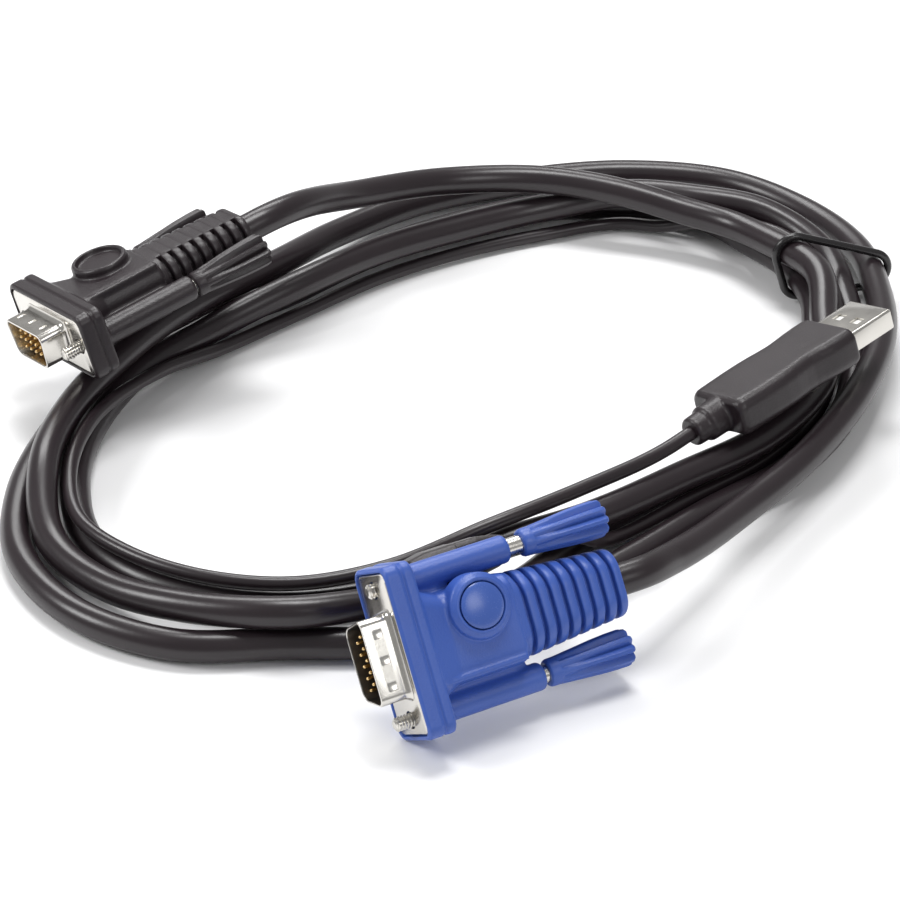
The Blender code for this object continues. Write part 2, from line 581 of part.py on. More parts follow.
def make_usb_plug(looks):
    parent = place("usb_plug", *USB_PLACE)
    back = -USB_BARE - USB_SEAT
    outer = box_outline(USB_WIDTH, USB_HEIGHT, 0.6 * MM, 2)
    inner = box_outline(USB_WIDTH - 2 * USB_WALL, USB_HEIGHT - 2 * USB_WALL, 0.3 * MM, 2)
    shell = add_mesh("usb_shell", loft([(back, outer), (0, outer)]), parent, looks["nickel"])
    hollow = add_mesh("usb_shell_hollow", loft([(back - FACE, inner), (FACE, inner)]), parent)
    combine(shell, hollow, "DIFFERENCE")
    for side, end in ((1, "far"), (-1, "near")):
        across = side * USB_WINDOW_SPACING / 2
        x_range = (-USB_WINDOW_AT - USB_WINDOW / 2, -USB_WINDOW_AT + USB_WINDOW / 2)
        y_range = (across - USB_WINDOW / 2, across + USB_WINDOW / 2)
        window = box_mesh(x_range, y_range, (-USB_HEIGHT, USB_HEIGHT))
        combine(shell, add_mesh(f"usb_{end}_window", window, parent), "DIFFERENCE")
    # The tongue fills the lower half of the shell, and the contacts lie in slots in its upper face.
    tongue_floor = -USB_HEIGHT / 2 + USB_WALL + SEAT
    tongue_top = tongue_floor + TONGUE_HEIGHT
    slot_floor = tongue_top - CONTACT_THICK - CONTACT_SINK
    tongue_start = back + SEAT
    half = TONGUE_WIDTH / 2
    tongue = box_mesh((tongue_start, -TONGUE_SET), (-half, half), (tongue_floor, tongue_top))
    tongue = add_mesh("usb_tongue", tongue, parent, looks["white"])
    for i in range(4):
        middle = (i - 1.5) * CONTACT_PITCH
        reach = -TONGUE_SET - CONTACT_WIDTH
        slot_half = CONTACT_WIDTH / 2 + PIN_FIT
        slot = box_mesh((reach - CONTACT_LENGTH - PIN_FIT, reach + PIN_FIT), (middle - slot_half, middle + slot_half),
                        (slot_floor, tongue_top + FACE))
        combine(tongue, add_mesh(f"usb_slot_{i + 1}", slot, parent), "DIFFERENCE")
        contact_floor = slot_floor + CONTACT_SINK
        contact = box_mesh((reach - CONTACT_LENGTH, reach), (middle - CONTACT_WIDTH / 2, middle + CONTACT_WIDTH / 2),
                           (contact_floor, contact_floor + CONTACT_THICK))
        add_mesh(f"usb_contact_{i + 1}", contact, parent, looks["brass"])
    front = -USB_BARE
    end = front - GRIP_LENGTH
    edge = 2 * FLANGE_EDGE
    sections = []
    for share, width, inset in (
        (0, GRIP_FRONT_WIDTH, edge), (0.03, GRIP_FRONT_WIDTH, 0), (0.35, GRIP_FRONT_WIDTH, 0),
        (0.6, GRIP_WAIST_WIDTH, 0), (0.85, GRIP_BACK_WIDTH, 0), (0.97, GRIP_BACK_WIDTH, 0), (1, GRIP_BACK_WIDTH, edge),
    ):
        outline = box_outline(width - inset, GRIP_HEIGHT - inset, GRIP_CORNER, 4)
        sections.append((front - share * GRIP_LENGTH, outline))
    grip = add_mesh("usb_grip", loft(sections), parent, looks["black"])
    neck_end = end - NECK_LENGTH
    neck = turned([
        (end + FACE, NECK_RADIUS), (neck_end + FLANGE_EDGE, NECK_RADIUS), (neck_end, COLLAR_RADIUS),
        (neck_end - COLLAR_LENGTH, COLLAR_RADIUS - FLANGE_EDGE),
    ], 20)
    combine(grip, add_mesh("usb_neck", neck, parent), "UNION")
    pocket = box_outline(USB_WIDTH + 2 * SEAT, USB_HEIGHT + 2 * SEAT, 0.6 * MM, 2)
    pocket = loft([(back - SEAT, pocket), (front + FACE, pocket)])
    combine(grip, add_mesh("usb_grip_pocket", pocket, parent), "DIFFERENCE")
    return parent


def oval(station):
    """The point of the oval line at a station, and the direction straight out from it."""
    turn = 2 * math.pi * station / STATIONS
    long_way = Vector((math.cos(OVAL_TURN), math.sin(OVAL_TURN), 0))
    short_way = Vector((-math.sin(OVAL_TURN), math.cos(OVAL_TURN), 0))
    centre = Vector((*OVAL_CENTRE, 0))
    point = centre + OVAL_LONG * math.cos(turn) * long_way + OVAL_SHORT * math.sin(turn) * short_way
    out = OVAL_SHORT * math.cos(turn) * long_way + OVAL_LONG * math.sin(turn) * short_way
    return point, out.normalized()


def laid(lane):
    """A route's entry as a point in space."""
    station, out_by, height = lane
    point, out = oval(station)
    return point + out * (out_by * MM) + Vector((0, 0, height * MM))


def exit_points(parent, x, y=0.0, z=0.0, direction=1):
    """Where a cord leaves a plug, and the end of its straight lead."""
    mouth = parent.matrix_world @ Vector((x + direction * SEAT, y, z))
    return mouth, parent.matrix_world @ Vector((x + direction * (SEAT + LEAD), y, z))


def smooth_line(points):
    """The smooth curve through a route's points, read at each of them and halfway along its tighter bends."""
    route = np.array(points)
    run = np.concatenate([[0], np.cumsum(np.linalg.norm(np.diff(route, axis=0), axis=1))])
    headings = np.gradient(route, run, axis=0)
    line = []
    for i in range(len(route) - 1):
        line.append(Vector(route[i]))
        if Vector(headings[i]).angle(Vector(headings[i + 1])) > CORD_BEND:
            bulge = (run[i + 1] - run[i]) * (headings[i] - headings[i + 1]) / 8
            line.append(Vector((route[i] + route[i + 1]) / 2 + bulge))
    line.append(Vector(route[-1]))
    return line


def lay_cord(name, points, diameter, sides, look, closed=False):
    curve = bpy.data.curves.new(name, "CURVE")
    curve.dimensions = "3D"
    curve.bevel_depth = diameter / 2
    curve.bevel_resolution = sides // 2 - 2
    curve.use_fill_caps = not closed
    spline = curve.splines.new("POLY")
    spline.points.add(len(points) - 1)
    for place_here, point in zip(spline.points, points):
        place_here.co = (*point, 1.0)
    spline.use_cyclic_u = closed
    return add_object(name, curve, None, look)


def hull(points):
    """The convex outline of flat points, anticlockwise."""
    ordered = sorted(points)

    def half(these):
        kept = []
        for p in these:
            while len(kept) > 1 and ((kept[-1][0] - kept[-2][0]) * (p[1] - kept[-2][1])
                                     - (kept[-1][1] - kept[-2][1]) * (p[0] - kept[-2][0])) <= 0:
                kept.pop()
            kept.append(p)
        return kept[:-1]

    return half(ordered) + half(ordered[::-1])


def crossing(points, station):
    """(lane, height) of every strand of a cord where it passes a station."""
    origin, out = oval(station)
    along = Vector((-out.y, out.x, 0))
    found = []
    for a, b in zip(points, points[1:]):
        before, after = (a - origin).dot(along), (b - origin).dot(along)
        if before * after > 0 or abs((a - origin).dot(out)) > OVAL_SHORT / 2:
            continue
        p = a.lerp(b, before / (before - after))
        found.append(((p - origin).dot(out), p.z))
    return found


def make_tie(cable, cord, look):
    """A closed wire tie, drawn tight round all the strands where they pass its station."""
    around = []
    for points, diameter in ((cable, CABLE_DIAMETER), (cord, CORD_DIAMETER)):
        reach = diameter / 2 + SEAT + TIE_DIAMETER / 2
        for lane, height in crossing(points, TIE_STATION):
            around += [(lane + p[0], height + p[1]) for p in circle_outline(reach, 24)]
    outline = [Vector(p) for p in hull(around)]
    lengths = [(b - a).length for a, b in zip(outline, outline[1:] + outline[:1])]
    origin, out = oval(TIE_STATION)
    points = []
    for i in range(TIE_POINTS):
        run = sum(lengths) * i / TIE_POINTS
        side = 0
        while run > lengths[side]:
            run -= lengths[side]
            side += 1
        p = outline[side].lerp(outline[(side + 1) % len(outline)], run / lengths[side])
        points.append(origin + out * p.x + Vector((0, 0, p.y)))
    lay_cord("cable_tie", points, TIE_DIAMETER, 8, look, closed=True)


def main():
    clear_scene()
    looks = {
        "blue": material("blue_plastic", BLUE_PLASTIC), "black": material("black_plastic", BLACK_PLASTIC),
        "cable": material("cable_skin", CABLE_SKIN), "nickel": material("nickel", NICKEL),
        "brass": material("gilt_brass", BRASS), "dark": material("dark_insulator", DARK_INSERT),
        "amber": material("amber_insulator", AMBER_INSERT), "white": material("white_insulator", WHITE_INSERT),
    }
    lens_seat = (LENS_RADIUS + PIN_FIT, LENS_DEPTH)
    ring_bore = (RING_BORE, RING_DEPTH)
    blue = make_plug("blue", BLUE_PLACE, BLUE_PULL, looks["blue"], looks["dark"], 0, lens_seat, True, looks)
    black = make_plug("black", BLACK_PLACE, BLACK_PULL, looks["black"], looks["amber"], FIN_CROWN, ring_bore, False,
                      looks)
    make_lens(blue, looks["blue"])
    make_boot(blue, looks["black"])
    usb = make_usb_plug(looks)
    bpy.context.view_layer.update()
    cable_route = (CABLE_TOP_AND_RIGHT + CABLE_INNER_LEFT + CABLE_MIDDLE_RIGHT + CABLE_OUTER_LEFT
                   + CABLE_LOWEST_TURN + CABLE_UPPER_LEFT + CABLE_OUTER_RIGHT)
    cord_route = CORD_BOTTOM_AND_LEFT + CORD_INNER_TOP + CORD_RIGHT_TO_OUTLET
    cable = [*exit_points(black, RELIEF_END), *map(laid, cable_route), *reversed(exit_points(blue, RELIEF_END))]
    usb_end = -USB_BARE - GRIP_LENGTH - NECK_LENGTH - COLLAR_LENGTH
    cord = [*exit_points(usb, usb_end, direction=-1), *map(laid, cord_route),
            *reversed(exit_points(blue, BOOT_END, OUTLET_AT[0], BOOT_AT))]
    cable, cord = smooth_line(cable), smooth_line(cord)
    lay_cord("main_cable", cable, CABLE_DIAMETER, 10, looks["cable"])
    lay_cord("usb_cord", cord, CORD_DIAMETER, 8, looks["cable"])
    make_tie(cable, cord, looks["black"])


main()
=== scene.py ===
"""The coiled KVM cable on a pale studio floor: the cords, the dressed plugs, their finishes, the light and
the camera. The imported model's frame is in metres. Lengths here are in millimetres and are scaled by MM.
A profile is written as (x, width, height) for a bar, and as (x, radius) for a round piece."""

import math

import bmesh
import bpy
import numpy as np
from mathutils import Matrix, Vector

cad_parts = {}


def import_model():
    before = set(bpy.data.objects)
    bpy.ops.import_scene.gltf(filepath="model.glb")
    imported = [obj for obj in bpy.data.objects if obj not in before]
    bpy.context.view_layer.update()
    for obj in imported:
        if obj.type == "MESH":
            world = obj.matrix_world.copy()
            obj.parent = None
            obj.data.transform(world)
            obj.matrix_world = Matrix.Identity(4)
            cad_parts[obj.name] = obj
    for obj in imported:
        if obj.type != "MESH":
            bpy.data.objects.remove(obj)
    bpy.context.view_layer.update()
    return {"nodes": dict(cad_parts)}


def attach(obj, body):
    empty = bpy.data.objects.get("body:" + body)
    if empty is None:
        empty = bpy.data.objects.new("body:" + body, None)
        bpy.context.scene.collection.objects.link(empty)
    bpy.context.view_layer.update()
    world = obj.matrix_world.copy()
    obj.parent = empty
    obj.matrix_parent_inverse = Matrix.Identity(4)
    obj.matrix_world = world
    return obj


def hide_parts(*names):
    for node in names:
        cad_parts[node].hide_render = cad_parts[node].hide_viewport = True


MM = 0.001

# The three plugs: position, heading, pitch up and roll
BLUE_PLACE = ((-10.3, -68.8, 17.15), 29.5, 0.0, 55.9)
BLACK_PLACE = ((-83.1, 41.8, 20.2), 35.6, 10.1, -12.3)
USB_PLACE = ((89.5, 44.8, 22.8), 41.9, 7.1, -15.9)
BLUE_PULL = (2.8, 0.7)  # how far the upper and the lower thumbscrew are drawn back
BLACK_PULL = (0.0, 0.0)
SEAT = 0.3  # between pieces that touch

# The 15-pin plug's hood
FLANGE_BACK = 5.5
SCREW_AT = 24.99 / 2
POST_END = 28.4
POST_RADIUS = 2.75
POST_BORE = 2.05
WEB_ENDS = {1: 14.5, -1: 25.6}  # on the upper and on the lower post
WEB_IN = 2.2  # from the post's middle to the web's
RELIEF_START = 24.5
RELIEF_END = 48.0
RELIEF_WIDTH = 17.1
RELIEF_HEIGHT = 12.1
RELIEF_TAPER = (3.7, 1.6)  # what the width and the height lose by its end
FINS = 8
FINS_START = 25.0
FIN_LEAD = 0.4  # in pitches, before the first groove
GROOVE_WIDTH = 1.15
BADGE_AT = (17.0, 4.4)
BADGE_ROOT = 3.2
BADGE_TOP = 8.3
SKIN_VOXEL = 0.25
BOOT_VOXEL = 0.2

# Its connector
MOUTH_WIDTH = 16.9
MOUTH_HEIGHT = 8.36
MOUTH_SLOPE = math.radians(10)
DIMPLE_PITCH = 5.0
PIN_PITCH = 2.29
PIN_COLUMNS = 5
ROW_PITCH = 1.98
ROW_SHIFTS = (0.0, 0.5, 0.0)  # in pitches: the middle row is staggered
ROWS_OFF_CENTRE = 0.25  # in pitches, so that the staggered rows lie about the middle

# Its thumbscrews
SCREW_LENGTH = 32.7
THREAD_TURNS = 9
THREAD_PITCH = 0.635
THREAD_ROOT = 1.14
THREAD_CREST = 1.42
SHANK_RADIUS = 1.75
SHANK_IN_KNOB = 11.0
FLUTES = 9
FLUTE_COLUMNS = 8  # columns of points from one flute to the next

# The cords
CABLE_DIAMETER = 6.4
CORD_DIAMETER = 3.0
TIE_DIAMETER = 1.8
TIE_STATION = -1.5
LEAD = 6.0
INTO_PLUG = 1.2
CABLE_STEPS = 14  # of the smooth curve between two points of the route
CORD_STEPS = 12
TIE_CLEARANCE = 0.15
TIE_POINTS = 120
ROUND_POINTS = 48
USB_NECK_END = -54.0
BOOT_END = 33.0
BOOT_AT = (12.0, -9.6)
SLEEVE_AT = (12.0, -8.2)

# The USB plug
GRIP_START = -12.0
GRIP_WIDTH = 16.2
GRIP_HEIGHT = 8.2
WINDOW_AT = 2.6

# The light and the camera, in metres
CAMERA_AT = (0.0006, -0.6114, 0.4159)
CAMERA_TILT = math.radians(56.935)
CAMERA_LENS = 145.17  # millimetres
FLOOR_SIZE = 6
FLOOR_DROP = 0.0002
WORLD_LIGHT = 0.36

# The oval line that the coil is laid round, and the routes of the cable, from the black plug, and of the
# thin cord, from the USB plug. Each row has a station, which is a 24th of the way round, and the distance
# out from the oval line and the height of the cord's middle there.
OVAL_CENTRE = (5.6, 43.9)
OVAL_LONG = 98.0
OVAL_SHORT = 66.0
OVAL_TURN = math.radians(45.5)
STATIONS = 24
CABLE = (
    (5, -6.2, 20.5), (4, -3.5, 15.8), (3, -7.1, 14.2), (2, -13.4, 13.4), (1, -15, 11.4), (0, -14, 11),
    (-1, -12.8, 12), (-2, -7.4, 12.9), (-3, -6, 11.4), (-4, -1.9, 9.9), (-5, -3.1, 9.2), (-6, -7.6, 9.3),
    (-7, -7.9, 10.2), (-8, -9.6, 9.2), (-9, -9, 4.1), (-10, -6.8, 3.3), (-11, -5.6, 3.3), (-12, -3.2, 3.3),
    (-13, -1.4, 3.3), (-14, -1.3, 3.3), (-15, -0.8, 3.5), (-16, -2.7, 5.7), (-17, -6.4, 5.4),
    (-18, -12.3, 8.6), (-19, -11.4, 8), (-20, -9.9, 7), (-21, -7.1, 6.8), (-22, -6.2, 9.4), (-23, -7.9, 11),
    (-24, -3.9, 10.6), (-25, -0.2, 7.6), (-26, -0.6, 5.2), (-27, 1.1, 3.6), (-28, 3.8, 3.3),
    (-29, 3.1, 3.3), (-30, -0.6, 3.3), (-31, 1.2, 3.3), (-32, 5.6, 3.3), (-33, 6.8, 3.3), (-34, 6.2, 3.3),
    (-35, 11.5, 3.3), (-36, 13.6, 3.3), (-37, 13.1, 3.3), (-38, 9.8, 3.3), (-39, 6.6, 3.3), (-40, 4, 3.3),
    (-41, 0.6, 3.3), (-42, -6.4, 3.3), (-43, -5, 3.3), (-44, -3, 3.3), (-45, -1, 3.3), (-46, -1, 3.3),
    (-47, -2.6, 3.5), (-48, -7.4, 3.8), (-49, -8.6, 5.3), (-50, -7.7, 5.6), (-51, -8, 4.1),
    (-52, -7.1, 3.4), (-53, -8.1, 3.3), (-54, -12, 3.3), (-55, -10.7, 3.3), (-56, -1.8, 4),
    (-57, -0.5, 7.6), (-58, 5.4, 10.1), (-59, 5, 8), (-60, 5.4, 5.7), (-61, 6.5, 5.6), (-62, 4.8, 9.9),
    (-63, 2.4, 10.3), (-64, -1.8, 12.4), (-65, -2.6, 11.2), (-66, -3, 9.3), (-67, 5, 5), (-68, 11, 3.3),
    (-69, 12.5, 3.3), (-70, 14.5, 3.3), (-71, 15.3, 3.4), (-72, 12.4, 3.8), (-73, 9.4, 5.2),
    (-74, 6.7, 6.6), (-75, 6.6, 8.8), (-76, 7, 9.8), (-77, 7.6, 9.4), (-78, 10.1, 10.4), (-79, 18, 14.8),
)
CORD = (
    (17, -11.3, 15), (16, -9.9, 14.4), (15, -9.2, 9.7), (14, -6.5, 8.5), (13, -4.8, 8.5), (12, -2.8, 8.5),
    (11, 0, 8.4), (10, -0.6, 8.5), (9, -2.8, 8.8), (8, -7.7, 7.3), (7, -10.7, 2.6), (6, -13.2, 1.8),
    (5, -12.8, 1.8), (4, -12.2, 1.8), (3, -10.4, 1.8), (2, -7, 2), (1.5, -8.6, 2.8), (1, -9.4, 5.4),
    (0.5, -9.9, 7.3), (0, -9.3, 9.2), (-0.5, -7.4, 9.8), (-1, -5.6, 9.5), (-2, -4, 9.2), (-3, -3.2, 6.9),
    (-4, -1.7, 3.2), (-5, -2.5, 3.8), (-6, -5.4, 4.7), (-7, -3.4, 6.9), (-7.4, 1.6, 14.5),
)


def metres(lengths):
    return tuple(length * MM for length in lengths)


def plug_matrix(where):
    """Turns a plug's own frame, whose x axis runs back along it, into the model's."""
    position, heading, pitch, roll = where
    turn = Matrix.Rotation(math.radians(heading), 4, "Z") @ Matrix.Rotation(-math.radians(pitch), 4, "Y")
    return Matrix.Translation(metres(position)) @ turn @ Matrix.Rotation(math.radians(roll), 4, "X")


BLUE = plug_matrix(BLUE_PLACE)
BLACK = plug_matrix(BLACK_PLACE)
USB = plug_matrix(USB_PLACE)


# Modelling by operators


def only(obj):
    """Makes this the one selected piece, in object mode."""
    if bpy.context.mode != "OBJECT":
        bpy.ops.object.mode_set(mode="OBJECT")
    bpy.ops.object.select_all(action="DESELECT")
    obj.select_set(True)
    bpy.context.view_layer.objects.active = obj


def pick(obj, wanted):
    """Selects the points of the piece in edit mode that the test wants, in millimetres."""
    mesh = bmesh.from_edit_mesh(obj.data)
    bpy.ops.mesh.select_mode(type="VERT")
    for point in mesh.verts:
        point.select = bool(wanted(point.co / MM))
    mesh.select_flush_mode()
    bmesh.update_edit_mesh(obj.data)


def scale_about(y, z, factor_y, factor_z):
    """Scales what is selected across x, about a line along x."""
    bpy.ops.transform.resize(value=(1, factor_y, factor_z), center_override=(0, y * MM, z * MM))


def draw_out(sections, middle):
    """Carries the selected outline on through these (x, width, height) sections."""
    (x, width, height), rest = sections[0], sections[1:]
    for next_x, next_width, next_height in rest:
        bpy.ops.mesh.extrude_region_move(TRANSFORM_OT_translate={"value": ((next_x - x) * MM, 0, 0)})
        scale_about(*middle, next_width / width, next_height / height)
        x, width, height = next_x, next_width, next_height


def finish_mesh(obj, angle=None):
    """Leaves edit mode with all faces pointing out, and smooths edges flatter than the angle."""
    bpy.ops.mesh.select_all(action="SELECT")
    bpy.ops.mesh.normals_make_consistent(inside=False)
    bpy.ops.object.mode_set(mode="OBJECT")
    only(obj)
    if angle is not None:
        bpy.ops.object.shade_smooth_by_angle(angle=math.radians(angle))
    return obj


def bar(name, sections, corner=1.0, segments=5, middle=(0.0, 0.0), narrow=1.0, angle=None):
    """A bar with rounded corners along x, drawn out through (x, width, height) sections."""
    x, width, height = sections[0]
    bpy.ops.mesh.primitive_plane_add(size=1, rotation=(0, math.pi / 2, 0), location=(x * MM, 0, 0))
    obj = bpy.context.object
    obj.name = name
    only(obj)
    bpy.ops.object.transform_apply(location=True, rotation=True, scale=True)
    bpy.ops.object.mode_set(mode="EDIT")
    bpy.ops.mesh.select_all(action="SELECT")
    scale_about(0, 0, width * MM, height * MM)
    if narrow != 1.0:
        pick(obj, lambda p: p.z < 0)
        scale_about(0, 0, narrow, 1)
        bpy.ops.mesh.select_all(action="SELECT")
    bpy.ops.transform.translate(value=(0, middle[0] * MM, middle[1] * MM))
    bpy.ops.mesh.select_mode(type="VERT")
    bpy.ops.mesh.select_all(action="SELECT")
    bpy.ops.mesh.bevel(offset=corner * MM, segments=segments, affect="VERTICES")
    bpy.ops.mesh.select_all(action="SELECT")
    draw_out(sections, middle)
    return finish_mesh(obj, angle)


def rod(name, profile, sides=32, middle=(0.0, 0.0), angle=None):
    """A round piece along x, drawn out through (x, radius) points."""
    x, radius = profile[0]
    where = (x * MM, middle[0] * MM, middle[1] * MM)
    bpy.ops.mesh.primitive_circle_add(vertices=sides, radius=radius * MM, fill_type="NGON", location=where,
                                      rotation=(0, math.pi / 2, 0))
    obj = bpy.context.object
    obj.name = name
    only(obj)
    bpy.ops.object.transform_apply(location=True, rotation=True, scale=True)
    bpy.ops.object.mode_set(mode="EDIT")
    bpy.ops.mesh.select_all(action="SELECT")
    draw_out([(x, radius, radius) for x, radius in profile], middle)
    return finish_mesh(obj, angle)


def boss(name, profile, sides=64, angle=None):
    """A round piece standing on the hood's upper face at the badge, through (height, radius) points."""
    z, radius = profile[0]
    where = (BADGE_AT[0] * MM, BADGE_AT[1] * MM, z * MM)
    bpy.ops.mesh.primitive_circle_add(vertices=sides, radius=radius * MM, fill_type="NGON", location=where)
    obj = bpy.context.object
    obj.name = name
    only(obj)
    bpy.ops.object.transform_apply(location=True, rotation=True, scale=True)
    bpy.ops.object.mode_set(mode="EDIT")
    bpy.ops.mesh.select_all(action="SELECT")
    for next_z, next_radius in profile[1:]:
        bpy.ops.mesh.extrude_region_move(TRANSFORM_OT_translate={"value": (0, 0, (next_z - z) * MM)})
        share = next_radius / radius
        bpy.ops.transform.resize(value=(share, share, 1), center_override=where)
        z, radius = next_z, next_radius
    return finish_mesh(obj, angle)


def apply_step(obj, kind, **settings):
    """Adds a modifier with these settings and applies it."""
    only(obj)
    step = obj.modifiers.new("step", kind)
    for key, value in settings.items():
        setattr(step, key, value)
    bpy.ops.object.modifier_apply(modifier=step.name)


def joined(first, others):
    only(first)
    for other in others:
        other.select_set(True)
    bpy.ops.object.join()
    return first


def cut(obj, cutter):
    apply_step(obj, "BOOLEAN", operation="DIFFERENCE", solver="EXACT", object=cutter)
    bpy.data.objects.remove(cutter, do_unlink=True)


def moulded(obj, voxel, passes):
    """One skin over all the overlapping forms, with every edge softened as a mould leaves it."""
    apply_step(obj, "REMESH", mode="VOXEL", voxel_size=voxel * MM, use_smooth_shade=True)
    apply_step(obj, "SMOOTH", factor=0.5, iterations=passes)
    only(obj)
    bpy.ops.object.shade_smooth()
    return obj


def settle(obj, matrix, finish, slot, body, *nodes):
    """Puts a finished piece in its place, in its own mesh, and hides the CAD nodes that it stands for."""
    only(obj)
    obj.matrix_world = matrix
    bpy.ops.object.transform_apply(location=True, rotation=True, scale=True)
    obj.data.materials.clear()
    obj.data.materials.append(finish)
    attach(obj, body)
    if nodes:
        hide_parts(*nodes)
    obj.select_set(False)
    return obj


# Finishes


class Value:
    """A shader value that takes Python's arithmetic."""

    def __init__(self, finish, socket):
        self.finish = finish
        self.socket = socket

    def maths(self, operation, first, second):
        return self.finish.node("ShaderNodeMath", {"operation": operation}, {0: first, 1: second})

    def __add__(self, other):
        return self.maths("ADD", self, other)

    def __sub__(self, other):
        return self.maths("SUBTRACT", self, other)

    def __rsub__(self, other):
        return self.maths("SUBTRACT", other, self)

    def __mul__(self, other):
        return self.maths("MULTIPLY", self, other)

    __radd__ = __add__
    __rmul__ = __mul__


class Finish:
    """One material, with its Principled shader."""

    def __init__(self, name):
        self.material = bpy.data.materials.new(name)
        self.material.use_nodes = True
        self.tree = self.material.node_tree
        self.shader = self.tree.nodes["Principled BSDF"]

    def node(self, kind, settings=None, inputs=None, output=0):
        made = self.tree.nodes.new(kind)
        for key, value in (settings or {}).items():
            setattr(made, key, value)
        for key, value in (inputs or {}).items():
            self.feed(made.inputs[key], value)
        return Value(self, made.outputs[output])

    def feed(self, socket, value):
        if isinstance(value, Value):
            self.tree.links.new(value.socket, socket)
        else:
            socket.default_value = value

    def set(self, **values):
        for key, value in values.items():
            self.feed(self.shader.inputs[key.replace("_", " ")], value)

    def mottle(self, per_metre, detail=3.0, roughness=0.5):
        """Even noise from 0 to 1 in the object's own coordinates."""
        place = self.node("ShaderNodeTexCoord", output="Object")
        settings = {"Scale": per_metre, "Detail": detail, "Roughness": roughness, "Vector": place}
        return self.node("ShaderNodeTexNoise", None, settings)

    def blend(self, factor, first, second):
        """The colour between two colours, by the factor."""
        made = self.tree.nodes.new("ShaderNodeMix")
        made.data_type = "RGBA"
        self.feed(made.inputs["Factor"], factor)
        colours = [socket for socket in made.inputs if socket.type == "RGBA"]
        self.feed(colours[0], (*first, 1))
        self.feed(colours[1], (*second, 1))
        return Value(self, [socket for socket in made.outputs if socket.type == "RGBA"][0])

    def relief(self, height, depth):
        settings = {"Height": height, "Distance": depth * MM, "Strength": 1.0}
        return self.node("ShaderNodeBump", None, settings)


def moulded_plastic(name, dark, light, gloss, grain_depth):
    """Satin plastic with a fine spark-eroded grain and slight drift in colour and gloss."""
    finish = Finish(name)
    drift = finish.mottle(90, 2.0)
    grain = finish.mottle(2600, 2.0, 0.6)
    finish.set(
        Base_Color=finish.blend(drift, dark, light),
        Roughness=grain * 0.12 + drift * 0.08 + (gloss - 0.10),
        Normal=finish.relief(grain, grain_depth),
        Specular_IOR_Level=0.5,
    )
    return finish.material


def cable_jacket(name, dark, light, gloss):
    """Drawn PVC: smooth, with faint long waves in its gloss."""
    finish = Finish(name)
    wave = finish.mottle(38, 2.0)
    skin = finish.mottle(1500, 2.0, 0.55)
    finish.set(
        Base_Color=finish.blend(wave, dark, light),
        Roughness=wave * 0.10 + skin * 0.06 + (gloss - 0.08),
        Normal=finish.relief(skin, 0.012),
        Specular_IOR_Level=0.5,
    )
    return finish.material


def plated_metal(name, dark, light, gloss):
    """Plated steel, with the faint cloudiness and fine rolling marks of the real one."""
    finish = Finish(name)
    cloud = finish.mottle(260, 3.0)
    fine = finish.mottle(5200, 2.0, 0.6)
    finish.set(
        Base_Color=finish.blend(cloud, dark, light),
        Metallic=1.0,
        Roughness=cloud * 0.12 + fine * 0.05 + (gloss - 0.08),
        Normal=finish.relief(fine, 0.004),
    )
    return finish.material


# The cords


def oval(station):
    """The point of the oval line at a station, in millimetres, and the way out from it."""
    turn = 2 * math.pi * station / STATIONS
    long_way = Vector((math.cos(OVAL_TURN), math.sin(OVAL_TURN), 0))
    short_way = Vector((-math.sin(OVAL_TURN), math.cos(OVAL_TURN), 0))
    centre = Vector((*OVAL_CENTRE, 0))
    point = centre + OVAL_LONG * math.cos(turn) * long_way + OVAL_SHORT * math.sin(turn) * short_way
    out = OVAL_SHORT * math.cos(turn) * long_way + OVAL_LONG * math.sin(turn) * short_way
    return point, out.normalized()


def laid(row):
    """The place of a row of a route."""
    station, out_by, height = row
    point, out = oval(station)
    return (point + out * out_by + Vector((0, 0, height))) * MM


def smooth_line(points, steps):
    """The smooth curve through the route's points, with this many steps between two of them."""
    route = np.array(points)
    run = np.concatenate([[0], np.cumsum(np.linalg.norm(np.diff(route, axis=0), axis=1))])
    headings = np.gradient(route, run, axis=0)
    line = []
    for i in range(len(route) - 1):
        span = run[i + 1] - run[i]
        for t in np.arange(steps) / steps:
            here = (2 * t**3 - 3 * t**2 + 1) * route[i] + (3 * t**2 - 2 * t**3) * route[i + 1]
            line.append(here + span * ((t**3 - 2 * t**2 + t) * headings[i] + (t**3 - t**2) * headings[i + 1]))
    line.append(route[-1])
    return [Vector(p) for p in line]


def lay_cord(name, points, diameter, finish, node, closed=False):
    """A round cord along the points, in place of its CAD node."""
    curve = bpy.data.curves.new(name, "CURVE")
    curve.dimensions = "3D"
    curve.bevel_depth = diameter * MM / 2
    curve.bevel_resolution = 8
    curve.use_fill_caps = not closed
    spline = curve.splines.new("POLY")
    spline.points.add(len(points) - 1)
    for corner, point in zip(spline.points, points):
        corner.co = (*point, 1.0)
    spline.use_cyclic_u = closed
    spline.use_smooth = True
    curve.materials.append(finish)
    obj = bpy.data.objects.new(name, curve)
    bpy.context.scene.collection.objects.link(obj)
    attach(obj, "cable")
    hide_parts(node)
    return obj


def lead(matrix, x, y=0.0, z=0.0, direction=1):
    """The first two points of a cord, straight out of a plug."""
    mouth = matrix @ Vector(metres((x + direction * SEAT, y, z)))
    return mouth, matrix @ Vector(metres((x + direction * (SEAT + LEAD), y, z)))


def crossing(points, station):
    """(lane, height) of each strand of a cord at a station."""
    origin, out = oval(station)
    origin = origin * MM
    along = Vector((-out.y, out.x, 0))
    found = []
    for a, b in zip(points, points[1:]):
        before, after = (a - origin).dot(along), (b - origin).dot(along)
        if before * after > 0 or before == after or abs((a - origin).dot(out)) > OVAL_SHORT * MM / 2:
            continue
        p = a.lerp(b, before / (before - after))
        found.append(((p - origin).dot(out), p.z))
    return found


